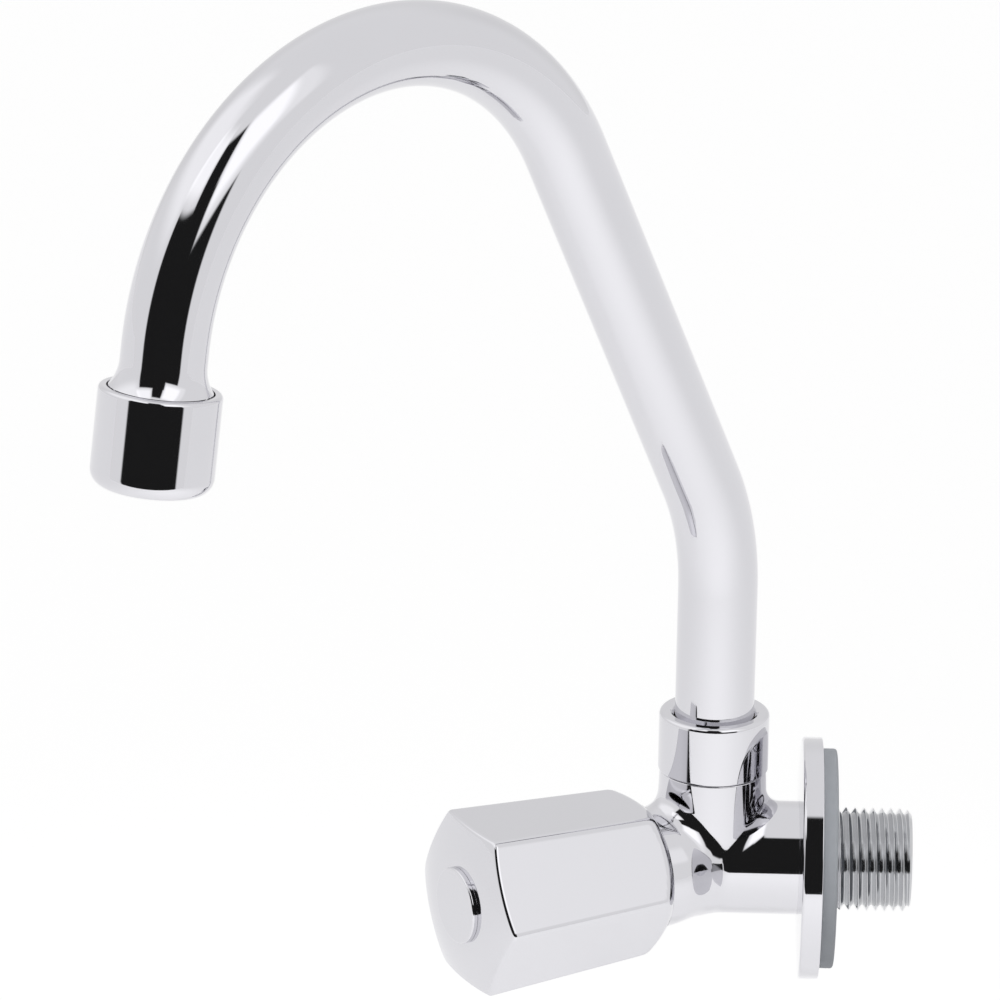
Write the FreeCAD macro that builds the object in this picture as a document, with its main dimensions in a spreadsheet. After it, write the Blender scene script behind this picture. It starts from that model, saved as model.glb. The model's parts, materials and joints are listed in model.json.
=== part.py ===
import FreeCAD, Part
import Sketcher
import os
import re

# Wall-mounted faucet with a swivelling bent spout and a screw-down valve.
# Millimetres, +Z up. The origin is on the inlet axis in the plane of the wall,
# +Y runs into the wall and the front faces -Y.

doc = FreeCAD.newDocument("WallFaucet")
sheet = doc.addObject("Spreadsheet::Sheet", "Sizes")

# Driving dimensions, piece by piece
sizes = {
    # Sizes shared by many pieces
    "overrun": 1.0,
    "match_tolerance": 0.01,
    "running_gap": 0.05,
    "seated_gap": 0.03,
    # Cast body: one bent pipe from the wall to the valve, with a boss for the spout
    "wall_to_spout": 25.2,
    "valve_angle": 30.0,
    "pipe_radius": 11.55,
    "pipe_bend_radius": 15.0,
    "arm_length": 17.0,
    "flare_start": 6.0,
    "flare_end": 12.6,
    "flare_rise": 0.75,
    "boss_radius": 10.8,
    "boss_height": 19.2,
    "neck_radius": 9.7,
    "neck_height": 7.8,
    "socket_radius": 6.9,
    "socket_floor": 11.0,
    "inlet_bore": 5.5,
    "inlet_depth": 22.2,
    "passage_radius": 3.8,
    "passage_offset": 4.3,
    "passage_floor": 2.0,
    "seat_bore": 4.5,
    "seat_bore_depth": 8.0,
    "seat_land": 1.75,
    "seat_height": 1.5,
    "chamber_radius": 8.6,
    "headwork_thread": 9.0,
    "headwork_start": 10.0,
    # Inlet nipple, wall flange and its backing ring
    "inlet_thread_radius": 10.4775,
    "inlet_thread_length": 15.4,
    "inlet_thread_chamfer": 1.0,
    "nipple_spigot": 9.0,
    "nipple_spigot_depth": 11.2,
    "nipple_wall": 3.2,
    "flange_radius": 24.6,
    "flange_front": 7.1,
    "flange_hub": 7.4,
    "flange_hub_width": 3.4,
    "flange_rim_wall": 2.4,
    "flange_plate": 1.7,
    "flange_rounding": 0.7,
    "flange_slip": 0.15,
    "gasket_thickness": 3.0,
    "gasket_radius": 22.3,
    "gasket_rounding": 0.6,
    # Headwork, gland and seals
    "headwork_gasket": 0.8,
    "headwork_collar": 10.9,
    "headwork_collar_height": 2.2,
    "headwork_flats": 19.0,
    "headwork_hexagon": 6.0,
    "gland_neck": 7.0,
    "gland_neck_height": 6.0,
    "spindle_thread": 5.5,
    "spindle_bore_depth": 12.0,
    "spindle_radius": 3.5,
    "packing_radius": 5.4,
    "packing_height": 3.0,
    "packing_floor": 28.0,
    "gland_flats": 17.0,
    "gland_height": 6.8,
    "gland_lift": 2.2,
    "gland_roof": 2.6,
    # Jumper, washer and its nut, shut on the seat
    "washer_thickness": 3.5,
    "washer_radius": 6.9,
    "jumper_plate": 2.0,
    "jumper_radius": 7.0,
    "jumper_stem": 3.0,
    "jumper_stem_length": 7.0,
    "jumper_spigot": 2.0,
    "jumper_spigot_length": 3.4,
    "washer_nut_flats": 6.5,
    "washer_nut_height": 2.4,
    # Spindle and knob
    "spindle_thread_length": 11.5,
    "jumper_hole_depth": 8.3,
    "square_start": 38.2,
    "square_length": 7.8,
    "square_side": 4.9,
    "screw_radius": 1.65,
    "screw_hole_depth": 7.4,
    "screw_head_radius": 3.4,
    "screw_head_height": 2.2,
    "screw_slot_width": 0.9,
    "screw_slot_depth": 1.0,
    "knob_rear": 16.3,
    "knob_rear_radius": 17.2,
    "knob_corner": 55.6,
    "knob_front_radius": 19.3,
    "knob_crown": 57.9,
    "knob_land": 8.6,
    "knob_crown_bulge": 0.75,
    "knob_rear_mouth": 13.5,
    "knob_rear_blend": 4.8,
    "blend_share": 0.56,
    "knob_ridge": 0.7,
    "knob_rest_angle": -1.7,
    "knob_cavity": 12.7,
    "knob_cavity_end": 51.0,
    "knob_boss": 7.0,
    "knob_web": 3.0,
    "cap_recess": 6.4,
    "cap_radius": 7.75,
    "cap_thickness": 1.15,
    "cap_plug_depth": 4.6,
    "cap_wall": 1.2,
    "cap_rounding": 0.45,
    # Spout pipe and its swivel
    "spout_swing_angle": 45.8,
    "tube_radius": 8.0,
    "tube_wall": 1.0,
    "spout_rise": 58.0,
    "lower_bend_radius": 51.5,
    "lower_bend_angle": 27.9,
    "lean_length": 84.8,
    "arch_radius": 54.1,
    "arch_angle": 144.15,
    "spout_tail": 2.7,
    "flare_length": 4.8,
    "flare_radius": 9.6,
    "flare_skirt": 2.5,
    "spigot_bore": 4.6,
    "spigot_lift": 0.4,
    "spigot_tongue": 6.9,
    "collar_radius": 9.4,
    "collar_height": 1.6,
    "slip_washer": 0.5,
    "ring_section": 0.6,
    "ring_groove_width": 1.6,
    "lower_ring_height": 15.0,
    "upper_ring_height": 20.5,
    "nut_radius": 11.15,
    "nut_gap": 0.15,
    "nut_lip": 2.2,
    "nut_lip_opening": 0.25,
    "nut_lip_clear": 0.3,
    "nut_bevel": 0.9,
    "nut_rounding": 0.9,
    # Spout end and aerator
    "end_ring_radius": 9.85,
    "end_ring_height": 5.5,
    "end_ring_bore": 7.2,
    "housing_radius": 11.4,
    "housing_length": 18.7,
    "housing_lip": 2.5,
    "housing_opening": 7.6,
    "housing_rounding": 3.2,
    "housing_rim_rounding": 0.8,
    "aerator_washer": 1.5,
    "insert_flange": 1.4,
    "insert_radius": 8.3,
    "insert_hole": 0.95,
    "insert_inner_circle": 2.9,
    "insert_outer_circle": 5.9,
    "screen_thickness": 0.4,
}
for row, alias in enumerate(sizes, start=1):
    sheet.set("A%d" % row, alias)
    sheet.set("B%d" % row, str(sizes[alias]))
    sheet.setAlias("B%d" % row, alias)
doc.recompute()


def bound(formula):
    """Point the names in a formula at their cells."""
    def cell(found):
        word = found.group(0)
        return "Sizes." + word if word in sizes else word
    return re.sub(r"[a-z_]+", cell, formula)


def number(formula):
    """What a formula of sizes comes to now."""
    return float(sheet.evalExpression(bound(formula)))


def part_body(label, base=("0", "0", "0"), turn=("0", "0", "0")):
    """An empty body whose own Z axis is the axis of the piece."""
    body = doc.addObject("PartDesign::Body", label)
    body.Label = label
    places = tuple(bound(text) for text in base + turn)
    body.setExpression("Placement", "placement(vector(%s; %s; %s); rotation(%s; %s; %s))" % places)
    return body


def flat_sketch(body, name, plane="XZ_Plane", base=None, swing=None):
    """A sketch on one of the body's own planes, shifted or swung in it if asked."""
    sketch = body.newObject("Sketcher::SketchObject", name)
    role = [item for item in body.Origin.OriginFeatures if item.Role == plane][0]
    sketch.AttachmentSupport = (role, [""])
    sketch.MapMode = "FlatFace"
    if swing:
        upright = FreeCAD.Vector(0, 0, 1)
        sketch.AttachmentOffset = FreeCAD.Placement(FreeCAD.Vector(), upright, number(swing))
        sketch.setExpression("AttachmentOffset.Rotation.Angle", bound(swing))
    for axis, formula in zip("xyz", base or ()):
        sketch.setExpression("AttachmentOffset.Base." + axis, bound(formula))
    return sketch


def pin(sketch, edge, end, spot):
    """Hold one end of an edge at a place given as two formulas."""
    for kind, formula in (("DistanceX", spot[0]), ("DistanceY", spot[1])):
        row = sketch.addConstraint(Sketcher.Constraint(kind, -1, 1, edge, end, number(formula)))
        sketch.setExpression("Constraints[%d]" % row, bound(formula))


def corner(spot):
    """The place that two formulas give."""
    return FreeCAD.Vector(number(spot[0]), number(spot[1]), 0)


def draw_edge(sketch, here, there, through=None):
    """One line, or one arc through a held place. Gives the edge and its two ends."""
    if not through:
        return sketch.addGeometry(Part.LineSegment(here, there), False), 1, 2
    edge = sketch.addGeometry(Part.Arc(here, corner(through), there), False)
    mark = sketch.addGeometry(Part.Point(corner(through)), True)
    pin(sketch, mark, 1, through)
    sketch.addConstraint(Sketcher.Constraint("PointOnObject", mark, 1, edge))
    start = sketch.getPoint(edge, 1)
    forward = start.distanceToPoint(here) < start.distanceToPoint(there)
    return (edge, 1, 2) if forward else (edge, 2, 1)


def outline(sketch, spots, closed=True):
    """Lines and arcs end to end. A spot is (x, y), with a second pair where an arc through it follows."""
    drawn = []
    count = len(spots) if closed else len(spots) - 1
    for place in range(count):
        spot = spots[place]
        following = spots[(place + 1) % len(spots)]
        drawn.append(draw_edge(sketch, corner(spot), corner(following), spot[2:]))
    for place in range(count):
        edge, first, last = drawn[place]
        pin(sketch, edge, first, spots[place])
        if closed or place + 1 < count:
            following = drawn[(place + 1) % count]
            sketch.addConstraint(Sketcher.Constraint("Coincident", edge, last, following[0], following[1]))
        else:
            pin(sketch, edge, last, spots[-1])
    return sketch


def ring_outline(sketch, formulas, centre=("0", "0")):
    """Round outlines about one centre, one for each radius given."""
    for formula in formulas:
        circle = Part.Circle(corner(centre), FreeCAD.Vector(0, 0, 1), number(formula))
        edge = sketch.addGeometry(circle, False)
        row = sketch.addConstraint(Sketcher.Constraint("Radius", edge, number(formula)))
        sketch.setExpression("Constraints[%d]" % row, bound(formula))
        pin(sketch, edge, 3, centre)
    return sketch


def hexagon(sketch, radius):
    """Six-sided outline with a corner on the sketch's own X axis."""
    turns = ["60 * %d" % place for place in range(6)]
    return outline(sketch, [("(%s) * cos(%s)" % (radius, turn), "(%s) * sin(%s)" % (radius, turn))
                            for turn in turns])


def turned(body, name, spots, cut=False, plane="XZ_Plane", base=None, swing=None):
    """A lathe-turned form, or a cut of that form, about the sketch's upright axis."""
    sketch = outline(flat_sketch(body, name + "Outline", plane, base, swing), spots)
    feature = body.newObject("PartDesign::Groove" if cut else "PartDesign::Revolution", name)
    feature.Profile = sketch
    feature.ReferenceAxis = (sketch, ["V_Axis"])
    feature.Angle = 360.0
    return feature


def padded(body, name, sketch, length, cut=False, reverse=False):
    """A straight pad or pocket of one sketch."""
    feature = body.newObject("PartDesign::Pocket" if cut else "PartDesign::Pad", name)
    feature.Profile = sketch
    feature.setExpression("Length", bound(length))
    feature.Reversed = reverse
    return feature


def piped(body, name, profile, route):
    """A section carried along a route."""
    doc.recompute()
    feature = body.newObject("PartDesign::AdditivePipe", name)
    feature.Profile = profile
    feature.Spine = (route, ["Edge%d" % (place + 1) for place in range(len(route.Shape.Edges))])
    return feature


def softened(body, name, radius, chosen):
    """Round the edges of the body so far that the test picks out."""
    doc.recompute()
    base = body.Tip
    edges = ["Edge%d" % (place + 1) for place, edge in enumerate(base.Shape.Edges) if chosen(edge)]
    feature = body.newObject("PartDesign::Fillet", name)
    feature.Base = (base, edges)
    feature.setExpression("Radius", bound(radius))
    return feature


def rim(radius, along):
    """Test for the round edge of one radius at one height along the piece's axis."""
    wanted = (number(radius), number(along))
    near = number("match_tolerance")

    def chosen(edge):
        if not isinstance(edge.Curve, Part.Circle):
            return False
        found = (edge.Curve.Radius, edge.Curve.Center.z)
        return all(abs(one - other) < near for one, other in zip(found, wanted))
    return chosen


# Axes that several pieces share. The valve axis leaves the wall's normal sideways by valve_angle.
valve_axis = (("0", "-wall_to_spout", "0"), ("valve_angle", "0", "90"))
wall_axis = (("0", "0", "0"), ("0", "0", "-90"))
riser_axis = (("0", "-wall_to_spout", "0"), ("0", "0", "0"))
spout_axis = (("0", "-wall_to_spout", "0"), ("spout_swing_angle - 90", "0", "0"))

# Heights up the riser and distances out along the valve that several pieces share
neck_top = "(boss_height + neck_height)"
collar_seat = "(%s + slip_washer + running_gap)" % neck_top
collar_top = "(%s + collar_height)" % collar_seat
plate_front = "(running_gap + washer_thickness + seated_gap)"
plate_back = "(%s + jumper_plate)" % plate_front
spindle_foot = "(%s + running_gap)" % plate_back
collar_face = "(arm_length + headwork_gasket)"
hexagon_face = "(%s + headwork_collar_height)" % collar_face
hexagon_back = "(%s + headwork_hexagon)" % hexagon_face
neck_end = "(%s + gland_neck_height)" % hexagon_back
gland_foot = "(%s + gland_lift)" % hexagon_back
gland_top = "(%s + gland_height)" % gland_foot
packing_top = "(packing_floor + packing_height)"
square_end = "(square_start + square_length)"

# Cast body: a pipe that bends from the inlet axis to the valve axis
body = part_body("faucet_body")
bend_leg = "(pipe_bend_radius * tan(valve_angle / 2))"
bend_top = "(-wall_to_spout + %s)" % bend_leg
pipe_route = outline(flat_sketch(body, "PipeRoute", "XY_Plane"), [
    ("0", "0"),
    ("0", bend_top, "pipe_bend_radius * (1 - cos(valve_angle / 2))",
     "%s - pipe_bend_radius * sin(valve_angle / 2)" % bend_top),
    ("%s * sin(valve_angle)" % bend_leg, "-wall_to_spout - %s * cos(valve_angle)" % bend_leg),
    ("arm_length * sin(valve_angle)", "-wall_to_spout - arm_length * cos(valve_angle)")], closed=False)
pipe_section = ring_outline(flat_sketch(body, "PipeSection"), ["pipe_radius"])
piped(body, "Pipe", pipe_section, pipe_route)

# The arm swells towards its end, which passes into the knob's rear
valve_sketch = {"plane": "XY_Plane", "base": ("0", "-wall_to_spout", "0"), "swing": "180 + valve_angle"}
turned(body, "ArmFlare", [
    ("0", "flare_start"), ("pipe_radius", "flare_start"),
    ("pipe_radius + flare_rise", "flare_end"), ("pipe_radius + flare_rise", "arm_length"),
    ("0", "arm_length")], **valve_sketch)

# Upright boss with the neck that the swivel nut screws on
riser_sketch = {"plane": "XZ_Plane", "base": ("0", "0", "wall_to_spout")}
turned(body, "Boss", [
    ("0", "0"), ("boss_radius", "0"), ("boss_radius", "boss_height"), ("neck_radius", "boss_height"),
    ("neck_radius", neck_top), ("0", neck_top)], **riser_sketch)

# Valve chamber with its raised seat, then the inlet bore, the spout socket and the way between them
turned(body, "Chamber", [
    ("0", "-seat_bore_depth"), ("seat_bore", "-seat_bore_depth"), ("seat_bore", "0"),
    ("seat_bore + seat_land", "0"), ("seat_bore + seat_land", "-seat_height"),
    ("chamber_radius", "-seat_height"), ("chamber_radius", "headwork_start"),
    ("headwork_thread + seated_gap", "headwork_start"),
    ("headwork_thread + seated_gap", "arm_length + overrun"), ("0", "arm_length + overrun")],
    cut=True, **valve_sketch)
turned(body, "InletBore", [
    ("0", "-inlet_depth"), ("inlet_bore", "-inlet_depth"), ("inlet_bore", "-nipple_spigot_depth"),
    ("nipple_spigot + seated_gap", "-nipple_spigot_depth"), ("nipple_spigot + seated_gap", "overrun"),
    ("0", "overrun")], cut=True, plane="XY_Plane")
turned(body, "SpoutSocket", [
    ("0", "socket_floor"), ("socket_radius", "socket_floor"), ("socket_radius", neck_top + " + overrun"),
    ("0", neck_top + " + overrun")], cut=True, **riser_sketch)
passage = flat_sketch(body, "PassageOutline", "XY_Plane", ("0", "0", "socket_floor + overrun"))
ring_outline(passage, ["passage_radius"], ("passage_offset * sin(valve_angle)",
                                           "-wall_to_spout - passage_offset * cos(valve_angle)"))
padded(body, "Passage", passage, "socket_floor + overrun - passage_floor", cut=True)

# Threaded inlet nipple, brazed into the pipe. The thread is its major cylinder.
body = part_body("inlet_nipple", *wall_axis)
turned(body, "Nipple", [
    ("nipple_spigot - nipple_wall", "-nipple_spigot_depth + seated_gap"),
    ("nipple_spigot", "-nipple_spigot_depth + seated_gap"), ("nipple_spigot", "0"),
    ("inlet_thread_radius", "0"),
    ("inlet_thread_radius", "inlet_thread_length - inlet_thread_chamfer"),
    ("inlet_thread_radius - inlet_thread_chamfer", "inlet_thread_length"),
    ("nipple_spigot - nipple_wall", "inlet_thread_length")])

# Wall flange: a turned cup that slips along the pipe and covers the hole in the wall
body = part_body("wall_flange", *wall_axis)
slip_bore = "(pipe_radius + flange_slip)"
cup_floor = "(-flange_front + flange_plate)"
turned(body, "Cup", [
    (slip_bore, "-flange_hub"), (slip_bore + " + flange_hub_width", "-flange_hub"),
    ("flange_radius", "-flange_front"), ("flange_radius", "-gasket_thickness"),
    ("flange_radius - flange_rim_wall", "-gasket_thickness"),
    ("flange_radius - flange_rim_wall", cup_floor), (slip_bore, cup_floor)])
softened(body, "CupRounding", "flange_rounding", rim("flange_radius", "-flange_front"))

# Backing ring between the flange and the wall, with a step that sits in the cup
body = part_body("wall_gasket", *wall_axis)
turned(body, "Backing", [
    (slip_bore, cup_floor + " + seated_gap"),
    ("flange_radius - flange_rim_wall - flange_slip", cup_floor + " + seated_gap"),
    ("flange_radius - flange_rim_wall - flange_slip", "-gasket_thickness + seated_gap"),
    ("gasket_radius", "-gasket_thickness + seated_gap"), ("gasket_radius", "0"), (slip_bore, "0")])
softened(body, "BackingRounding", "gasket_rounding", rim("gasket_radius", "0"))

# Headwork: screwed into the arm, it carries the spindle's thread and the gland
body = part_body("headwork", *valve_axis)
turned(body, "Shank", [
    ("spindle_thread + running_gap", "headwork_start + running_gap"),
    ("headwork_thread", "headwork_start + running_gap"), ("headwork_thread", collar_face),
    ("headwork_collar", collar_face), ("headwork_collar", hexagon_face),
    ("gland_neck", hexagon_face), ("gland_neck", neck_end), ("packing_radius + seated_gap", neck_end),
    ("packing_radius + seated_gap", "packing_floor"), ("spindle_radius + running_gap", "packing_floor"),
    ("spindle_radius + running_gap", "headwork_start + spindle_bore_depth"),
    ("spindle_thread + running_gap", "headwork_start + spindle_bore_depth")])
nut_outline = flat_sketch(body, "HexagonOutline", "XY_Plane", ("0", "0", hexagon_face))
hexagon(nut_outline, "headwork_flats / sqrt(3)")
ring_outline(nut_outline, ["gland_neck"])
padded(body, "Hexagon", nut_outline, "headwork_hexagon")

# Fibre ring under the headwork's collar
body = part_body("headwork_gasket", *valve_axis)
turned(body, "FibreRing", [
    ("headwork_thread + seated_gap", "arm_length + seated_gap"),
    ("headwork_collar", "arm_length + seated_gap"),
    ("headwork_collar", collar_face + " - seated_gap"),
    ("headwork_thread + seated_gap", collar_face + " - seated_gap")])

# Gland packing round the spindle
body = part_body("gland_packing", *valve_axis)
turned(body, "Packing", [
    ("spindle_radius + running_gap", "packing_floor + seated_gap"),
    ("packing_radius", "packing_floor + seated_gap"),
    ("packing_radius", packing_top), ("spindle_radius + running_gap", packing_top)])

# Gland nut: its nose presses on the packing
body = part_body("gland_nut", *valve_axis)
gland_outline = flat_sketch(body, "GlandOutline", "XY_Plane", ("0", "0", gland_foot))
hexagon(gland_outline, "gland_flats / sqrt(3)")
padded(body, "GlandHexagon", gland_outline, "gland_height")
turned(body, "GlandBore", [
    ("0", gland_foot + " - overrun"), ("gland_neck + seated_gap", gland_foot + " - overrun"),
    ("gland_neck + seated_gap", gland_top + " - gland_roof"), ("packing_radius", gland_top + " - gland_roof"),
    ("packing_radius", packing_top + " + seated_gap"),
    ("spindle_radius + running_gap", packing_top + " + seated_gap"),
    ("spindle_radius + running_gap", gland_top + " + overrun"), ("0", gland_top + " + overrun")], cut=True)

# Jumper: plate, guide stem in the spindle and the spigot that holds the washer
body = part_body("jumper", *valve_axis)
turned(body, "Plate", [
    ("0", "-jumper_spigot_length"), ("jumper_spigot", "-jumper_spigot_length"),
    ("jumper_spigot", plate_front),
    ("jumper_radius", plate_front), ("jumper_radius", plate_back), ("jumper_stem", plate_back),
    ("jumper_stem", plate_back + " + jumper_stem_length"), ("0", plate_back + " + jumper_stem_length")])

# Rubber washer, shut on the seat
body = part_body("tap_washer", *valve_axis)
turned(body, "Disc", [
    ("jumper_spigot + seated_gap", "running_gap"), ("washer_radius", "running_gap"),
    ("washer_radius", plate_front + " - seated_gap"),
    ("jumper_spigot + seated_gap", plate_front + " - seated_gap")])

# Nut that holds the washer on its spigot, inside the seat's bore
body = part_body("washer_nut", *valve_axis)
small_outline = flat_sketch(body, "SmallNutOutline", "XY_Plane", ("0", "0", "running_gap - seated_gap"))
hexagon(small_outline, "washer_nut_flats / sqrt(3)")
ring_outline(small_outline, ["jumper_spigot + seated_gap"])
padded(body, "SmallNut", small_outline, "washer_nut_height", reverse=True)

# Spindle: screw at the foot, plain stem through the gland and a square for the knob
body = part_body("spindle", *valve_axis)
turned(body, "Stem", [
    ("jumper_stem + running_gap", spindle_foot), ("spindle_thread", spindle_foot),
    ("spindle_thread", spindle_foot + " + spindle_thread_length"),
    ("spindle_radius", spindle_foot + " + spindle_thread_length"), ("spindle_radius", "square_start"),
    ("0", "square_start"), ("0", spindle_foot + " + jumper_hole_depth"),
    ("jumper_stem + running_gap", spindle_foot + " + jumper_hole_depth")])


def square(sketch, side):
    """Four-sided outline about the axis."""
    half = "(%s) / 2" % side
    return outline(sketch, [("-" + half, "-" + half), (half, "-" + half), (half, half), ("-" + half, half)])


square_sketch = flat_sketch(body, "SquareOutline", "XY_Plane", ("0", "0", "square_start"))
square(square_sketch, "square_side")
padded(body, "Square", square_sketch, "square_length")
tapped = ring_outline(flat_sketch(body, "TappedOutline", "XY_Plane", ("0", "0", square_end)),
                      ["screw_radius + seated_gap"])
padded(body, "TappedHole", tapped, "screw_hole_depth", cut=True)

# Knob: a tapering hexagon, domed in front and rounded in behind to the arm
body = part_body("knob", *valve_axis)
knob_hexagon = flat_sketch(body, "KnobHexagon", "XY_Plane", ("0", "0", "knob_rear"), "knob_rest_angle")
hexagon(knob_hexagon, "knob_rear_radius")
taper = padded(body, "Taper", knob_hexagon, "knob_crown - knob_rear")
taper.setExpression("TaperAngle", bound(
    "atan((knob_front_radius - knob_rear_radius) * cos(30) / (knob_corner - knob_rear))"))


def ridge(edge):
    """The long edges between the knob's flats."""
    ends = [vertex.Point.z for vertex in edge.Vertexes]
    return len(ends) == 2 and abs(ends[0] - ends[1]) > number("knob_corner - knob_rear")


softened(body, "Ridges", "knob_ridge", ridge)
outside = "(knob_front_radius + overrun)"
turned(body, "Crown", [
    ("knob_land", "knob_crown"), ("knob_land", "knob_crown + overrun + overrun"),
    (outside, "knob_crown + overrun + overrun"), (outside, "knob_corner"),
    ("knob_front_radius", "knob_corner", "(knob_land + knob_front_radius) / 2",
     "(knob_crown + knob_corner) / 2 + knob_crown_bulge")], cut=True)
blend_end = "(knob_rear + knob_rear_blend)"
turned(body, "RearRounding", [
    ("knob_rear_mouth", "knob_rear", "knob_rear_mouth + (knob_front_radius - knob_rear_mouth) * blend_share",
     "knob_rear + knob_rear_blend * (1 - blend_share)"),
    ("knob_front_radius", blend_end), (outside, blend_end), (outside, "knob_rear - overrun"),
    ("knob_rear_mouth", "knob_rear - overrun")], cut=True)

# Hollow of the knob round the headwork, the square socket in its boss and the recess of the cap
turned(body, "KnobHollow", [
    ("0", "knob_rear - overrun"), ("knob_cavity", "knob_rear - overrun"), ("knob_cavity", "knob_cavity_end"),
    ("knob_boss", "knob_cavity_end"), ("knob_boss", "square_start - running_gap"),
    ("0", "square_start - running_gap")], cut=True)
socket = flat_sketch(body, "SocketOutline", "XY_Plane", ("0", "0", "square_start - running_gap"))
square(socket, "square_side + running_gap + running_gap")
padded(body, "SquareSocket", socket, "square_length + running_gap + running_gap", cut=True, reverse=True)
screw_floor = "(%s + knob_web)" % square_end
turned(body, "CapRecess", [
    ("0", square_end), ("screw_radius + running_gap", square_end),
    ("screw_radius + running_gap", screw_floor), ("cap_recess", screw_floor),
    ("cap_recess", "knob_crown + overrun"), ("0", "knob_crown + overrun")], cut=True)

# Screw that draws the knob onto the square
body = part_body("knob_screw", *valve_axis)
head_top = "(%s + seated_gap + screw_head_height)" % screw_floor
turned(body, "Screw", [
    ("0", square_end + " - screw_hole_depth + running_gap"),
    ("screw_radius", square_end + " - screw_hole_depth + running_gap"),
    ("screw_radius", screw_floor + " + seated_gap"), ("screw_head_radius", screw_floor + " + seated_gap"),
    ("screw_head_radius", head_top), ("0", head_top)])
slot = flat_sketch(body, "SlotOutline", "XY_Plane", ("0", "0", head_top))
outline(slot, [("-screw_head_radius - overrun", "-screw_slot_width / 2"),
               ("screw_head_radius + overrun", "-screw_slot_width / 2"),
               ("screw_head_radius + overrun", "screw_slot_width / 2"),
               ("-screw_head_radius - overrun", "screw_slot_width / 2")])
padded(body, "Slot", slot, "screw_slot_depth", cut=True)

# Bare button that snaps into the knob's front
body = part_body("index_cap", *valve_axis)
cap_seat = "(knob_crown + seated_gap)"
turned(body, "Button", [
    ("cap_recess - seated_gap - cap_wall", "knob_crown - cap_plug_depth"),
    ("cap_recess - seated_gap", "knob_crown - cap_plug_depth"), ("cap_recess - seated_gap", cap_seat),
    ("cap_radius", cap_seat), ("cap_radius", cap_seat + " + cap_thickness"),
    ("0", cap_seat + " + cap_thickness"),
    ("0", "knob_crown"), ("cap_recess - seated_gap - cap_wall", "knob_crown")])
softened(body, "ButtonRounding", "cap_rounding", rim("cap_radius", cap_seat + " + cap_thickness"))

# Spigot: turned plug that swivels in the socket, with two ring grooves and the collar under the nut
body = part_body("spout_spigot", *spout_axis)
groove_floor = "(socket_radius - running_gap - 2 * ring_section)"
plug = [("spigot_bore", "socket_floor + spigot_lift"),
        ("socket_radius - running_gap", "socket_floor + spigot_lift")]
for height in ("lower_ring_height", "upper_ring_height"):
    plug += [("socket_radius - running_gap", height + " - ring_groove_width / 2"),
             (groove_floor, height + " - ring_groove_width / 2"),
             (groove_floor, height + " + ring_groove_width / 2"),
             ("socket_radius - running_gap", height + " + ring_groove_width / 2")]
tongue = "(tube_radius - tube_wall - seated_gap)"
turned(body, "Plug", plug + [
    ("socket_radius - running_gap", collar_seat), ("collar_radius", collar_seat),
    ("collar_radius", collar_top),
    (tongue, collar_top), (tongue, collar_top + " + spigot_tongue"),
    ("spigot_bore", collar_top + " + spigot_tongue")])

# Sealing rings in the spigot's grooves
for label, height in (("spout_ring_lower", "lower_ring_height"), ("spout_ring_upper", "upper_ring_height")):
    ring = doc.addObject("Part::Torus", label)
    ring.Label = label
    ring.setExpression("Radius1", bound("socket_radius - running_gap - ring_section"))
    ring.setExpression("Radius2", bound("ring_section - seated_gap / 2"))
    place = "placement(vector(0; -wall_to_spout; %s); rotation(0; 0; 0))" % height
    ring.setExpression("Placement", bound(place))

# Slippery ring that the collar turns on
body = part_body("slip_washer", *riser_axis)
turned(body, "SlipRing", [
    ("socket_radius", neck_top), ("collar_radius", neck_top), ("collar_radius", neck_top + " + slip_washer"),
    ("socket_radius", neck_top + " + slip_washer")])

# Swivel nut: round, screwed on the neck, its lip holding the collar down
body = part_body("swivel_nut", *riser_axis)
lip_foot = "(%s + nut_lip_clear)" % collar_top
lip_top = "(%s + nut_lip)" % lip_foot
lip_radius = "(tube_radius + nut_lip_opening)"
turned(body, "Nut", [
    ("neck_radius + seated_gap", "boss_height + nut_gap"), ("nut_radius", "boss_height + nut_gap"),
    ("nut_radius", lip_top), (lip_radius + " + nut_bevel", lip_top), (lip_radius, lip_top + " - nut_bevel"),
    (lip_radius, lip_foot), ("neck_radius + seated_gap", lip_foot)])
softened(body, "NutRounding", "nut_rounding", rim("nut_radius", lip_top))

# Spout tube: upright, a gentle bend, a long lean, the arch and a belled end
lean = "lower_bend_angle"
fall = "(lower_bend_angle + arch_angle)"
bend_out = "(lower_bend_radius * (1 - cos(%s)))" % lean
bend_up = "(spout_rise + lower_bend_radius * sin(%s))" % lean
lean_out = "(%s + lean_length * sin(%s))" % (bend_out, lean)
lean_up = "(%s + lean_length * cos(%s))" % (bend_up, lean)
arch_out = "(%s + arch_radius * (cos(%s) - cos(%s)))" % (lean_out, lean, fall)
arch_up = "(%s + arch_radius * (sin(%s) - sin(%s)))" % (lean_up, fall, lean)
tail_out = "(%s + spout_tail * sin(%s))" % (arch_out, fall)
tail_up = "(%s + spout_tail * cos(%s))" % (arch_up, fall)
arch_mid = "(lower_bend_angle + arch_angle / 2)"
tube_foot = "(%s + seated_gap)" % collar_top
body = part_body("spout_tube", *spout_axis)
route = outline(flat_sketch(body, "TubeRoute"), [
    ("0", tube_foot),
    ("0", "spout_rise", "lower_bend_radius * (1 - cos(lower_bend_angle / 2))",
     "spout_rise + lower_bend_radius * sin(lower_bend_angle / 2)"),
    (bend_out, bend_up),
    (lean_out, lean_up, "%s + arch_radius * (cos(%s) - cos(%s))" % (lean_out, lean, arch_mid),
     "%s + arch_radius * (sin(%s) - sin(%s))" % (lean_up, arch_mid, lean)),
    (arch_out, arch_up),
    (tail_out, tail_up)], closed=False)
tube_section = flat_sketch(body, "TubeSection", "XY_Plane", ("0", "0", tube_foot))
ring_outline(tube_section, ["tube_radius", "tube_radius - tube_wall"])
piped(body, "Tube", tube_section, route)
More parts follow.
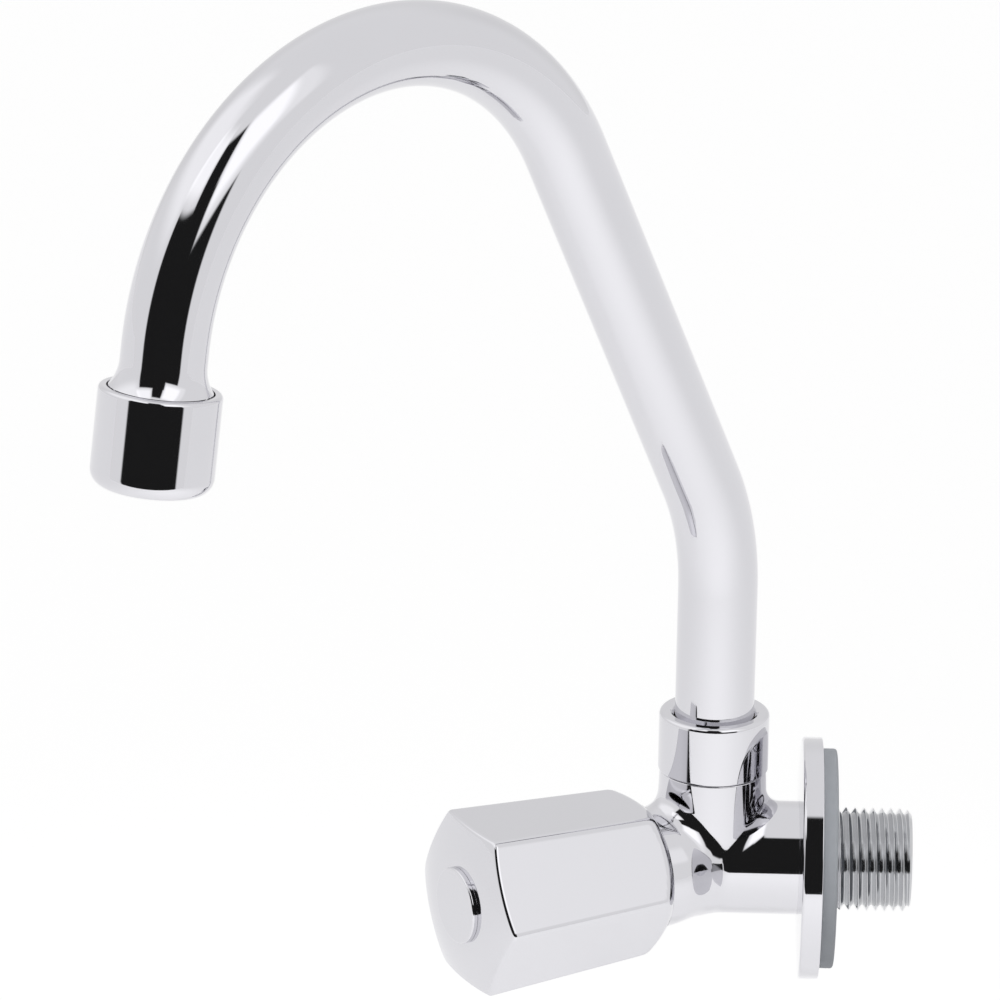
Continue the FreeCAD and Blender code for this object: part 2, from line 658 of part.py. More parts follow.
bell_end = "(flare_length + flare_skirt)"
bell_chord = "atan((flare_radius - tube_radius) / flare_length)"
bell_arc = "(flare_length / sin(2 * %s))" % bell_chord
bell_mid = "(tube_radius + %s * (1 - cos(%s)))" % (bell_arc, bell_chord)
bell_mid_out = "%s * sin(%s)" % (bell_arc, bell_chord)
turned(body, "Bell", [
    ("tube_radius - tube_wall", "0"), ("tube_radius", "0", bell_mid, bell_mid_out),
    ("flare_radius", "flare_length"), ("flare_radius", bell_end), ("flare_radius - tube_wall", bell_end),
    ("flare_radius - tube_wall", "flare_length", bell_mid + " - tube_wall", bell_mid_out)],
    base=(tail_out, tail_up, "0"), swing="-" + fall)

# The spout's end frame: out of the tube's end and along its axis
end_turn = ("spout_swing_angle - 90", fall, "0")
end_base = ("%s * sin(spout_swing_angle)" % tail_out,
            "-wall_to_spout - %s * cos(spout_swing_angle)" % tail_out, tail_up)
end_axis = (end_base, end_turn)

# Threaded ring brazed into the bell
body = part_body("spout_end_ring", *end_axis)
ring_seat = "(%s + seated_gap)" % bell_end
ring_end = "(%s + end_ring_height)" % ring_seat
turned(body, "EndRing", [
    ("end_ring_bore", "flare_length + seated_gap"),
    ("flare_radius - tube_wall - seated_gap", "flare_length + seated_gap"),
    ("flare_radius - tube_wall - seated_gap", ring_seat), ("end_ring_radius", ring_seat),
    ("end_ring_radius", ring_end), ("end_ring_bore", ring_end)])

# Aerator housing: screwed over the end ring, open at the top and turned in at the bottom
body = part_body("aerator_housing", *end_axis)
housing_top = "flare_length"
housing_end = "(flare_length + housing_length)"
lip_inside = "(%s - housing_lip)" % housing_end
turned(body, "Housing", [
    ("end_ring_radius + seated_gap", housing_top), ("housing_radius", housing_top),
    ("housing_radius", housing_end), ("housing_opening", housing_end), ("housing_opening", lip_inside),
    ("end_ring_radius + seated_gap", lip_inside)])
softened(body, "HousingRounding", "housing_rounding", rim("housing_radius", housing_end))
softened(body, "HousingRim", "housing_rim_rounding", rim("housing_radius", housing_top))

# Washer, jet insert and screen stacked inside the housing
body = part_body("aerator_washer", *end_axis)
washer_top = "(%s + seated_gap)" % ring_end
washer_end = "(%s + aerator_washer)" % washer_top
turned(body, "FlatRing", [
    ("end_ring_bore", washer_top), ("end_ring_radius", washer_top), ("end_ring_radius", washer_end),
    ("end_ring_bore", washer_end)])

body = part_body("aerator_insert", *end_axis)
insert_top = "(%s + seated_gap)" % washer_end
screen_top = "(%s - seated_gap - screen_thickness)" % lip_inside
insert_end = "(%s - seated_gap)" % screen_top
turned(body, "Insert", [
    ("0", insert_top), ("end_ring_radius", insert_top), ("end_ring_radius", insert_top + " + insert_flange"),
    ("insert_radius", insert_top + " + insert_flange"), ("insert_radius", insert_end), ("0", insert_end)])
centre_hole = flat_sketch(body, "CentreHole", "XY_Plane", ("0", "0", insert_end))
ring_outline(centre_hole, ["insert_hole"])
padded(body, "CentreJet", centre_hole, "%s - %s" % (insert_end, insert_top), cut=True)
for name, circle, count in (("Inner", "insert_inner_circle", 6), ("Outer", "insert_outer_circle", 12)):
    jet = flat_sketch(body, name + "Jet", "XY_Plane", ("0", "0", insert_end))
    ring_outline(jet, ["insert_hole"], (circle, "0"))
    pocket = padded(body, name + "JetHole", jet, "%s - %s" % (insert_end, insert_top), cut=True)
    doc.recompute()
    pattern = body.newObject("PartDesign::PolarPattern", name + "JetRing")
    pattern.Originals = [pocket]
    pattern.Axis = (jet, ["N_Axis"])
    pattern.Angle = 360.0
    pattern.Occurrences = count
    body.Tip = pattern

body = part_body("aerator_screen", *end_axis)
turned(body, "Screen", [
    ("0", screen_top), ("end_ring_radius", screen_top), ("end_ring_radius", lip_inside + " - seated_gap"),
    ("0", lip_inside + " - seated_gap")])

# Check the whole document, then write one file for each piece
doc.recompute()
failed = [item.Name for item in doc.Objects if "Invalid" in item.State or "Error" in item.State]
pieces = [item for item in doc.Objects if item.TypeId in ("PartDesign::Body", "Part::Torus")]
unsound = [item.Label for item in pieces if item.Shape.isNull() or not item.Shape.isValid()]
split = [item.Label for item in pieces if len(item.Shape.Solids) != 1]
if failed or unsound or split:
    raise RuntimeError("not built: %s %s %s" % (failed, unsound, split))
os.makedirs("parts", exist_ok=True)
for item in pieces:
    item.Shape.exportStep("parts/%s.step" % item.Label)
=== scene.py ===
import json
import math
import bmesh
import bpy
import numpy as np
from mathutils import Matrix


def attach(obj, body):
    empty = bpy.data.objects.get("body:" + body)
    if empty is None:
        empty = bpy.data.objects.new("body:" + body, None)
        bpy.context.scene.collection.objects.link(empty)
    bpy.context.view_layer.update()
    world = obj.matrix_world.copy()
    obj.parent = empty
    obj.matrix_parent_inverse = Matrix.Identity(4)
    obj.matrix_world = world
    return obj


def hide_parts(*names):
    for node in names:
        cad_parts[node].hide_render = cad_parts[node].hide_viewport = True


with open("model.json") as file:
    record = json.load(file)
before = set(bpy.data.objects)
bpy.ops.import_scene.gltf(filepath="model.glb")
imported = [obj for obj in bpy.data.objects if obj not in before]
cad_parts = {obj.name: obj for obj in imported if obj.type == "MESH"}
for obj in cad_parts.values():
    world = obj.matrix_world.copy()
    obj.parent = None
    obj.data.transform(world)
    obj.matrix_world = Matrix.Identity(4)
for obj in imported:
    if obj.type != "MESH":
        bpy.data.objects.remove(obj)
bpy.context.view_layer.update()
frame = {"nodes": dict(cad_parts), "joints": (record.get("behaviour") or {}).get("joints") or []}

# Cast body
# One brass casting, plated bright: a pipe that bends from the wall to the valve and
# an upright boss for the spout. The casting's fillets run smoothly into each other.
MM = 0.001
joints = {joint["name"]: joint for joint in frame["joints"]}


def unit(vector):
    """The direction of a vector, or of each row of an array of them."""
    vector = np.asarray(vector, float)
    return vector / np.linalg.norm(vector, axis=-1, keepdims=True)


class Axis:
    """An axis of the object: where it starts, the way it runs and two ways across it."""

    def __init__(self, start, along, across):
        self.start = np.asarray(start, float)
        self.along = unit(along)
        across = np.asarray(across, float)
        self.across = unit(across - np.dot(across, self.along) * self.along)
        self.other = np.cross(self.along, self.across)

    def ring(self, radius, height, turns):
        """Places at one or many turns round the axis."""
        out = np.cos(turns)[..., None] * self.across + np.sin(turns)[..., None] * self.other
        rise = np.asarray(height)[..., None] * self.along
        return self.start + rise + np.asarray(radius)[..., None] * out

    def lean(self, outward, forward, turns):
        """Directions with an outward and a forward part, at many turns round the axis."""
        out = np.cos(turns)[..., None] * self.across + np.sin(turns)[..., None] * self.other
        return unit(np.asarray(outward)[..., None] * out + np.asarray(forward)[..., None] * self.along)


riser = Axis(joints["spout_swivel"]["pos_m"], joints["spout_swivel"]["axis"], (1, 0, 0))
valve = Axis(joints["knob_turn"]["pos_m"], joints["knob_turn"]["axis"], (1, 0, 0))
wall = Axis((0, 0, 0), (0, 1, 0), (1, 0, 0))


def build_handled_surface():
    """Faint cloudiness of tone and gloss, as on metal and plastic that has been handled."""
    group = bpy.data.node_groups.new("HandledSurface", "ShaderNodeTree")
    colour, number = "NodeSocketColor", "NodeSocketFloat"
    for label, kind, value in (("Tone", colour, (0.8, 0.8, 0.8, 1)), ("Tone Drift", number, 0.03),
                               ("Gloss", number, 0.05), ("Gloss Drift", number, 0.03),
                               ("Grain", number, 60.0)):
        socket = group.interface.new_socket(label, in_out="INPUT", socket_type=kind)
        socket.default_value = value
    for label, kind in (("Tone", colour), ("Roughness", number), ("Height", number)):
        group.interface.new_socket(label, in_out="OUTPUT", socket_type=kind)
    make = group.nodes.new
    given = make("NodeGroupInput")
    result = make("NodeGroupOutput")
    place = make("ShaderNodeTexCoord")
    cloud = make("ShaderNodeTexNoise")
    cloud.inputs["Detail"].default_value = 4.0
    fine = make("ShaderNodeTexNoise")
    fine.inputs["Detail"].default_value = 6.0
    finer = make("ShaderNodeMath")
    finer.operation = "MULTIPLY"
    finer.inputs[1].default_value = 9.0
    link = group.links.new
    link(place.outputs["Object"], cloud.inputs["Vector"])
    link(place.outputs["Object"], fine.inputs["Vector"])
    link(given.outputs["Grain"], cloud.inputs["Scale"])
    link(given.outputs["Grain"], finer.inputs[0])
    link(finer.outputs[0], fine.inputs["Scale"])

    def drift(source, amount, centre):
        """centre + (source - 1/2) * amount"""
        away = make("ShaderNodeMath")
        away.operation = "SUBTRACT"
        away.inputs[1].default_value = 0.5
        scaled = make("ShaderNodeMath")
        scaled.operation = "MULTIPLY_ADD"
        link(source, away.inputs[0])
        link(away.outputs[0], scaled.inputs[0])
        link(amount, scaled.inputs[1])
        if centre is None:
            scaled.inputs[2].default_value = 1.0
        else:
            link(centre, scaled.inputs[2])
        return scaled.outputs[0]

    lift = drift(cloud.outputs["Fac"], given.outputs["Tone Drift"], None)
    shade = make("ShaderNodeVectorMath")
    shade.operation = "SCALE"
    link(given.outputs["Tone"], shade.inputs[0])
    link(lift, shade.inputs["Scale"])
    link(shade.outputs["Vector"], result.inputs["Tone"])
    sheen = drift(fine.outputs["Fac"], given.outputs["Gloss Drift"], given.outputs["Gloss"])
    link(sheen, result.inputs["Roughness"])
    link(fine.outputs["Fac"], result.inputs["Height"])
    return group


handled_surface = build_handled_surface()
relief_depth = 0.1 * MM


def finish(name, tone, gloss, metal=0.0, tone_drift=0.04, gloss_drift=0.03, grain=60.0, bump=0.02):
    """A material whose tone, gloss and relief drift over the surface."""
    material = bpy.data.materials.new(name)
    material.use_nodes = True
    tree = material.node_tree
    shader = tree.nodes["Principled BSDF"]
    shader.inputs["Metallic"].default_value = metal
    effect = tree.nodes.new("ShaderNodeGroup")
    effect.node_tree = handled_surface
    effect.inputs["Tone"].default_value = (*tone, 1.0)
    effect.inputs["Tone Drift"].default_value = tone_drift
    effect.inputs["Gloss"].default_value = gloss
    effect.inputs["Gloss Drift"].default_value = gloss_drift
    effect.inputs["Grain"].default_value = grain
    tree.links.new(effect.outputs["Tone"], shader.inputs["Base Color"])
    tree.links.new(effect.outputs["Roughness"], shader.inputs["Roughness"])
    if bump:
        relief = tree.nodes.new("ShaderNodeBump")
        relief.inputs["Strength"].default_value = bump
        relief.inputs["Distance"].default_value = relief_depth
        tree.links.new(effect.outputs["Height"], relief.inputs["Height"])
        tree.links.new(relief.outputs["Normal"], shader.inputs["Normal"])
    return material


chrome = finish("bright_chrome", (0.672, 0.668, 0.698), 0.045, metal=1.0,
                tone_drift=0.02, gloss_drift=0.02, bump=0.0)


def lay_mesh(name, places, faces, normals, material, body, node, slot):
    """A smooth piece with its true surface directions, riding on its body in place of its node."""
    mesh = bpy.data.meshes.new(name)
    mesh.from_pydata([tuple(place) for place in places], [],
                     [tuple(int(n) for n in face) for face in faces])
    mesh.polygons.foreach_set("use_smooth", [True] * len(mesh.polygons))
    mesh.normals_split_custom_set_from_vertices([tuple(normal) for normal in normals])
    mesh.materials.append(material)
    piece = bpy.data.objects.new(name, mesh)
    bpy.context.scene.collection.objects.link(piece)
    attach(piece, body)
    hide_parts(node)
    return piece


def joined(*shapes):
    """Several (places, faces, normals) as one."""
    places, faces, normals = [], [], []
    for shape in shapes:
        start = sum(len(group) for group in places)
        faces += [tuple(int(n) + start for n in face) for face in shape[1]]
        places.append(np.asarray(shape[0]))
        normals.append(np.asarray(shape[2]))
    return np.concatenate(places), faces, np.concatenate(normals)


least_round, arc_step, run_share, tiny = 0.06 * MM, math.radians(7), 0.98, 1e-9


def spun(flat, angle):
    """A flat direction turned by an angle."""
    cos, sin = math.cos(angle), math.sin(angle)
    return np.array([cos * flat[0] - sin * flat[1], sin * flat[0] + cos * flat[1]])


def rounded_outline(corners, closed=True):
    """A lathe outline from (radius, height, rounding) corners, as places and outward directions."""
    spots = np.array([corner[:2] for corner in corners], float)
    following = np.roll(spots, -1, axis=0)
    runs, lengths = unit(following - spots), np.linalg.norm(following - spots, axis=1)
    area = np.sum(spots[:, 0] * following[:, 1] - following[:, 0] * spots[:, 1])
    side = 1.0 if area > 0 else -1.0
    count = len(spots)
    bends = [math.atan2(np.cross(runs[n - 1], runs[n]), float(runs[n - 1] @ runs[n]))
             for n in range(count)]
    wanted = [(corner[2] if len(corner) > 2 else least_round) * abs(math.tan(bend / 2))
              for corner, bend in zip(corners, bends)]
    if not closed:
        wanted[0] = wanted[-1] = 0.0
    places, outs = [], []
    for index in range(count):
        here, arrive, leave, turn = spots[index], runs[index - 1], runs[index], bends[index]
        if not closed and index in (0, count - 1):
            run = leave if index == 0 else arrive
            places.append(here)
            outs.append(side * np.array([run[1], -run[0]]))
            continue
        before = wanted[index - 1] + wanted[index] + tiny
        after = wanted[index] + wanted[(index + 1) % count] + tiny
        room = min(1.0, run_share * lengths[index - 1] / before, run_share * lengths[index] / after)
        tangent = wanted[index] * room
        radius = tangent / max(abs(math.tan(turn / 2)), tiny)
        steps = max(3, int(abs(turn) / arc_step))
        inward = np.array([-arrive[1], arrive[0]]) * math.copysign(1.0, turn)
        centre = here - tangent * arrive + radius * inward
        spoke = -radius * inward
        for step in range(steps + 1):
            angle = turn * step / steps
            places.append(centre + spun(spoke, angle))
            run = spun(arrive, angle)
            outs.append(side * np.array([run[1], -run[0]]))
    return np.array(places), np.array(outs)


def grid_faces(rows, columns, close_rows=False):
    """Quads between rows of places that close on themselves."""
    faces = []
    for row in range(rows if close_rows else rows - 1):
        below, above = row * columns, ((row + 1) % rows) * columns
        for column in range(columns):
            beside = (column + 1) % columns
            faces.append((below + column, below + beside, above + beside, above + column))
    return faces


faces_tried = 400


def facing(places, faces, normals):
    """The faces, turned over if most of them look against the surface's own directions."""
    places, normals = np.asarray(places), np.asarray(normals)
    sample = np.array([face[:3] for face in faces[:: max(1, len(faces) // faces_tried)]])
    corners = places[sample]
    looks = np.cross(corners[:, 1] - corners[:, 0], corners[:, 2] - corners[:, 0])
    return faces if np.sum(looks * normals[sample[:, 0]]) > 0 else [face[::-1] for face in faces]


def turned(axis, corners, closed=True, around=192, hollow=False):
    """A lathe-turned shape about an axis, or with hollow the inside of one."""
    outline, outs = rounded_outline(corners, closed)
    outs = -outs if hollow else outs
    turns = np.arange(around) * 2 * math.pi / around
    every = np.ones(around)
    places = np.concatenate([axis.ring(every * r, every * h, turns) for r, h in outline])
    normals = np.concatenate([axis.lean(every * r, every * h, turns) for r, h in outs])
    faces = grid_faces(len(outline), around, closed)
    return places, facing(places, faces, normals), normals


pipe_radius = 11.55 * MM
pipe_bend = 15.0 * MM
crotch_blend, crotch_reach = 0.5 * MM, 6.0 * MM
arm_lean = math.atan2(valve.along[0], -valve.along[1])
flare_start, flare_end, flare_rise = 6.0 * MM, 12.6 * MM, 0.75 * MM
arm_end = 17.0 * MM
boss_radius, boss_top, boss_spread = 10.8 * MM, 19.2 * MM, 0.7 * MM
neck_radius, neck_top = 9.7 * MM, 27.0 * MM
cast_blend, least_blend, blend_power = 3.6 * MM, 0.3 * MM, 0.75
cut_back, under_face = 0.5 * MM, 0.02 * MM
valve_socket, nipple_socket, spout_socket, socket_floor = 9.03 * MM, 9.03 * MM, 6.9 * MM, 11.0 * MM
nipple_land = 3.0 * MM
wall_edge, arm_edge, boss_edge, neck_edge = 0.2 * MM, 0.4 * MM, 0.25 * MM, 0.3 * MM
blank_over, blank_step, blank_bends = 6.0 * MM, 0.45 * MM, 12


def pipe_skin(places):
    """Distance from the bent pipe, which swells towards the knob."""
    leg = pipe_bend * math.tan(arm_lean / 2)
    flat = places[:, :2] - riser.start[:2]
    hub = np.array([pipe_bend, leg])
    way = valve.along[:2]
    along_arm = flat @ way
    off_arm = np.abs(flat[:, 0] * way[1] - flat[:, 1] * way[0])
    off_bend = np.abs(np.linalg.norm(flat - hub, axis=1) - pipe_bend)
    off_pipe = np.abs(flat[:, 0])
    off = np.where(flat[:, 1] > leg, off_pipe, np.where(along_arm > leg, off_arm, off_bend))
    gap = np.maximum(crotch_blend - np.abs(off_pipe - off_arm), 0) / crotch_blend
    mitre = np.minimum(off_pipe, off_arm) - gap * gap * crotch_blend / 4
    inner = np.clip(flat @ unit(hub) / crotch_reach, 0, 1)
    off = off + inner * inner * (3 - 2 * inner) * (mitre - off)
    swell = np.clip((along_arm - flare_start) / (flare_end - flare_start), 0, 1)
    grown = pipe_radius + flare_rise * swell * swell * (3 - 2 * swell) * (flat[:, 1] < 0)
    return np.hypot(off, places[:, 2]) - grown


def boss_skin(places):
    """Distance from the upright boss, which spreads towards its round foot."""
    flat = np.linalg.norm(places[:, :2] - riser.start[:2], axis=1)
    low = np.clip(1 - places[:, 2] / boss_top, 0, 1)
    return np.hypot(flat, np.minimum(places[:, 2], 0)) - boss_radius - boss_spread * low


def slope(skin, places, reach=2e-6):
    """The way in which a skin's distance grows fastest."""
    steps = np.eye(3) * reach
    return np.stack([(skin(places + step) - skin(places - step)) / (2 * reach) for step in steps], axis=1)


def cast_skin(places):
    """Pipe and boss run together, with a full fillet where they meet squarely."""
    pipe, boss = pipe_skin(places), boss_skin(places)
    alike = np.sum(slope(pipe_skin, places) * slope(boss_skin, places), axis=1)
    square = 1 - np.clip(alike, 0, 1)
    blend = cast_blend * square ** blend_power + least_blend
    mix = np.maximum(blend - np.abs(pipe - boss), 0) / blend
    return np.minimum(pipe, boss) - mix * mix * blend / 4


def settle(skin, places, rounds=8):
    """Move places onto a skin."""
    for _ in range(rounds):
        way = slope(skin, places)
        places = places - (skin(places) / np.sum(way * way, axis=1))[:, None] * way
    return places


def swept(route, ways, radius, up, around=96):
    """A closed round bar along a route."""
    turns = np.arange(around) * 2 * math.pi / around
    rows = [Axis(place, way, up).ring(np.full(around, radius), np.zeros(around), turns)
            for place, way in zip(route, ways)]
    caps = [tuple(range(around)), tuple(reversed(range((len(rows) - 1) * around, len(rows) * around)))]
    return np.concatenate(rows), grid_faces(len(rows), around) + caps


route, ways = [np.array([0, blank_over, 0])], [-wall.along]
for angle in np.linspace(0, arm_lean, blank_bends + 1):
    route.append(riser.start + pipe_bend * np.array(
        [1 - math.cos(angle), math.tan(arm_lean / 2) - math.sin(angle), 0.0]))
    ways.append((math.sin(angle), -math.cos(angle), 0.0))
route.append(valve.start + (arm_end + blank_over) * valve.along)
ways.append(valve.along)
pipe_bar = swept(route, ways, pipe_radius, riser.along)
boss_bar = swept([riser.start, riser.start + (boss_top + blank_over) * riser.along], [riser.along] * 2,
                 boss_radius, (1, 0, 0))
blank = bpy.data.meshes.new("cast_blank")
bar_places, bar_faces = [], []
for places, faces in (pipe_bar, boss_bar):
    bar_faces += [tuple(n + len(bar_places) for n in face) for face in faces]
    bar_places += [tuple(place) for place in places]
blank.from_pydata(bar_places, [], bar_faces)
blank_piece = bpy.data.objects.new("cast_blank", blank)
bpy.context.scene.collection.objects.link(blank_piece)
remesh = blank_piece.modifiers.new("even", "REMESH")
remesh.mode = "VOXEL"
remesh.voxel_size = blank_step
bpy.context.view_layer.update()
evened = blank_piece.evaluated_get(bpy.context.evaluated_depsgraph_get())
even = bpy.data.meshes.new_from_object(evened)
bpy.data.objects.remove(blank_piece)
work = bmesh.new()
work.from_mesh(even)
settled = settle(cast_skin, np.array([vertex.co[:] for vertex in work.verts]))
for vertex, place in zip(work.verts, settled):
    vertex.co = place
for spot, way in ((wall.start - cut_back * wall.along, wall.along),
                  (valve.start + (arm_end - cut_back) * valve.along, valve.along),
                  (riser.start + (boss_top - cut_back) * riser.along, riser.along)):
    everything = work.verts[:] + work.edges[:] + work.faces[:]
    bmesh.ops.bisect_plane(work, geom=everything, plane_co=spot, plane_no=way, clear_outer=True)
work.verts.index_update()
skin_places = np.array([vertex.co[:] for vertex in work.verts])
skin_faces = [tuple(vertex.index for vertex in face.verts) for face in work.faces]
work.free()
cast = (skin_places, skin_faces, unit(slope(cast_skin, skin_places)))
flare_radius = pipe_radius + flare_rise
arm_rim = turned(valve, [
    (flare_radius, arm_end - cut_back), (flare_radius, arm_end, arm_edge), (valve_socket, arm_end),
    (valve_socket, flare_end)], closed=False)
wall_rim = turned(wall, [
    (pipe_radius, -cut_back), (pipe_radius, -under_face, wall_edge), (nipple_socket, -under_face),
    (nipple_socket, -nipple_land)], closed=False)
boss_rim = turned(riser, [
    (boss_radius + boss_spread * cut_back / boss_top, boss_top - cut_back),
    (boss_radius, boss_top, boss_edge), (neck_radius, boss_top), (neck_radius, neck_top, neck_edge),
    (spout_socket, neck_top), (spout_socket, socket_floor)], closed=False)
lay_mesh("cast_body", *joined(cast, wall_rim, arm_rim, boss_rim), chrome,
         "base", "faucet_body", "polished_chrome")


# Inlet nipple
# The wall connection: a turned brass nipple under plain nickel, let into the casting,
# with a 55 degree pipe thread of 14 turns to the inch cut on the end in the wall.
thread_radius, thread_length, thread_pitch = 10.4775 * MM, 15.4 * MM, 25.4 / 14 * MM
thread_depth = 0.640 * thread_pitch
lead_in, run_out = 1.0 * MM, 0.6 * thread_pitch
crest_share, flank_share, flank_curve = 0.06, 0.86, 0.25
spigot_radius, spigot_depth, inlet_bore = 9.0 * MM, 11.2 * MM, 5.8 * MM
thread_edge, bore_edge = 0.1 * MM, 0.5 * MM
nickel = finish("plain_nickel", (0.58, 0.585, 0.60), 0.11, metal=1.0,
                tone_drift=0.10, gloss_drift=0.08, grain=90.0)


def threaded(axis, radius, bottom, top, pitch, depth, around=144, per_turn=28):
    """A rounded thread on a bar, fading out at both ends."""
    turns = np.arange(around) * 2 * math.pi / around
    heights = np.linspace(bottom, top, int((top - bottom) / pitch * per_turn))

    def cut(height, turn):
        """The bar's radius at a height and a turn."""
        phase = np.abs(((height / pitch - turn / (2 * math.pi)) % 1.0) * 2 - 1)
        flank = np.clip((phase - crest_share) / flank_share, 0, 1)
        groove = flank * flank * (3 - 2 * flank) * flank_curve + flank * (1 - flank_curve)
        taper = np.clip((top - height) / lead_in, 0, 1)
        end = radius - depth * (1 - taper)
        root = np.clip((height - bottom) / run_out, 0, 1)
        return np.minimum(radius - depth * groove * root, end)

    level, turn = np.meshgrid(heights, turns, indexing="ij")
    size = cut(level, turn)
    places = axis.ring(size.ravel(), level.ravel(), turn.ravel())
    grid = places.reshape(*size.shape, 3)
    round_way = np.roll(grid, -1, axis=1) - np.roll(grid, 1, axis=1)
    normals = unit(np.cross(round_way, np.gradient(grid, axis=0))).reshape(-1, 3)
    return places, facing(places, grid_faces(len(heights), around), normals), normals


nipple_end = turned(wall, [
    (thread_radius - thread_depth, thread_length, thread_edge), (inlet_bore, thread_length, bore_edge),
    (inlet_bore, -spigot_depth), (spigot_radius, -spigot_depth), (spigot_radius, 0.0),
    (thread_radius, 0.0)], closed=False)
nipple_thread = threaded(wall, thread_radius, 0.0, thread_length, thread_pitch, thread_depth)
lay_mesh("inlet_nipple_threaded", *joined(nipple_end, nipple_thread), nickel,
         "base", "inlet_nipple", "plain_nickel")

# Wall flange and its backing
# A turned brass cover, plated bright, slides over the pipe and hides the hole. A grey
# foam ring behind its rim takes up an uneven wall.
flange_radius, flange_front, hub_front, rim_rear = 24.6 * MM, -7.1 * MM, -7.4 * MM, -3.0 * MM
flange_wall, flange_plate, slip_bore = 2.4 * MM, 1.7 * MM, 11.7 * MM
hub_width, hub_curve, rim_round, rim_edge, cup_round = 3.4 * MM, 4.0 * MM, 0.7 * MM, 0.2 * MM, 0.5 * MM
foam_radius, foam_front_edge, foam_rear_edge = 22.3 * MM, 0.3 * MM, 0.6 * MM
flange_facets = 256
foam = finish("backing_foam", (0.40, 0.42, 0.45), 0.75,
              tone_drift=0.12, gloss_drift=0.1, grain=400.0, bump=0.3)
cup_radius, cup_floor = flange_radius - flange_wall, flange_front + flange_plate
lay_mesh("wall_flange_pressed", *turned(wall, [
    (slip_bore, hub_front, rim_edge), (slip_bore + hub_width, hub_front, hub_curve),
    (flange_radius, flange_front, rim_round), (flange_radius, rim_rear, rim_edge),
    (cup_radius, rim_rear, rim_edge), (cup_radius, cup_floor, cup_round), (slip_bore, cup_floor)],
    around=flange_facets), chrome, "base", "wall_flange", "polished_chrome")
lay_mesh("wall_gasket_foam", *turned(wall, [
    (slip_bore, rim_rear), (foam_radius, rim_rear, foam_front_edge), (foam_radius, 0.0, foam_rear_edge),
    (slip_bore, 0.0)], around=flange_facets), foam, "base", "wall_gasket", "backing_grey")

# Swivel nut
# A turned brass ring, plated bright, screwed on the body's neck. Its inward lip holds
# the spout's collar down and leaves it free to turn.
nut_radius, nut_foot, nut_top = 11.15 * MM, 19.35 * MM, 31.65 * MM
lip_radius, lip_height = 8.12 * MM, 2.2 * MM
nut_bevel, neck_bore = 0.9 * MM, neck_radius + 0.03 * MM
nut_foot_edge, nut_top_edge, lip_edge = 0.35 * MM, 0.9 * MM, 0.2 * MM
lay_mesh("swivel_nut_turned", *turned(riser, [
    (neck_bore, nut_foot), (nut_radius, nut_foot, nut_foot_edge), (nut_radius, nut_top, nut_top_edge),
    (lip_radius + nut_bevel, nut_top, lip_edge), (lip_radius, nut_top - nut_bevel, lip_edge),
    (lip_radius, nut_top - lip_height), (neck_bore, nut_top - lip_height)]),
    chrome, "base", "swivel_nut", "polished_chrome")

# Spout
# A drawn brass tube, bent in two arcs and belled at its mouth, polished and plated. It
# stands in the nut on a collar and turns with everything at its end.
tube_radius, tube_wall, tube_foot = 8.0 * MM, 1.0 * MM, 29.18 * MM
rise_end, bend_radius, bend_turn = 58.0 * MM, 51.5 * MM, math.radians(27.9)
lean_length, arch_radius, arch_turn, tail = 84.8 * MM, 54.1 * MM, math.radians(144.15), 2.7 * MM
swing = math.radians(45.8)
bell_length, bell_radius = 4.8 * MM, 9.6 * MM
tube_facets, bend_step, bell_steps = 128, math.radians(1.5), 12
tube_legs = (("run", rise_end - tube_foot, 0.0), ("arc", bend_radius, bend_turn), ("run", lean_length, 0.0),
             ("arc", arch_radius, arch_turn), ("run", tail, 0.0))
reach_way = np.array([math.sin(swing), -math.cos(swing), 0.0])
level_way = np.cross(riser.along, reach_way)


def spout_route():
    """Reach, height and lean of the tube's middle, from its foot to its mouth."""
    across, up, angle = 0.0, tube_foot, 0.0
    stops = [(across, up, angle)]
    for kind, size, turn in tube_legs:
        if kind == "run":
            across, up = across + size * math.sin(angle), up + size * math.cos(angle)
            stops.append((across, up, angle))
            continue
        middle_across, middle_up = across + size * math.cos(angle), up - size * math.sin(angle)
        steps = int(turn / bend_step)
        for step in range(1, steps + 1):
            now = angle + turn * step / steps
            stops.append((middle_across - size * math.cos(now), middle_up + size * math.sin(now), now))
        across, up, angle = stops[-1]
    return stops


stops = spout_route()
mouth_across, mouth_up, mouth_turn = stops[-1]
mouth = Axis(riser.start + mouth_across * reach_way + mouth_up * riser.along,
             math.sin(mouth_turn) * reach_way + math.cos(mouth_turn) * riser.along, level_way)
turns = np.arange(tube_facets) * 2 * math.pi / tube_facets
every = np.ones(tube_facets)
rows, row_normals = [], []
for across, up, angle in stops:
    way = math.sin(angle) * reach_way + math.cos(angle) * riser.along
    here = Axis(riser.start + across * reach_way + up * riser.along, way, level_way)
    rows.append(here.ring(every * tube_radius, every * 0.0, turns))
    row_normals.append(here.lean(every, every * 0.0, turns))
bell_turn = 2 * math.atan((bell_radius - tube_radius) / bell_length)
bell_arc = bell_length / math.sin(bell_turn)
for angle in np.linspace(0, bell_turn, bell_steps + 1)[1:]:
    wide = tube_radius + bell_arc * (1 - math.cos(angle))
    rows.append(mouth.ring(every * wide, every * bell_arc * math.sin(angle), turns))
    row_normals.append(mouth.lean(every * math.cos(angle), -every * math.sin(angle), turns))
tube_places, tube_normals = np.concatenate(rows), np.concatenate(row_normals)
tube_faces = facing(tube_places, grid_faces(len(rows), tube_facets), tube_normals)
tube = (tube_places, tube_faces, tube_normals)
bore = (tube_places - tube_wall * tube_normals, [face[::-1] for face in tube_faces], -tube_normals)
bell_edge = turned(mouth, [(bell_radius - tube_wall, bell_length), (bell_radius, bell_length)],
                   closed=False, around=tube_facets)
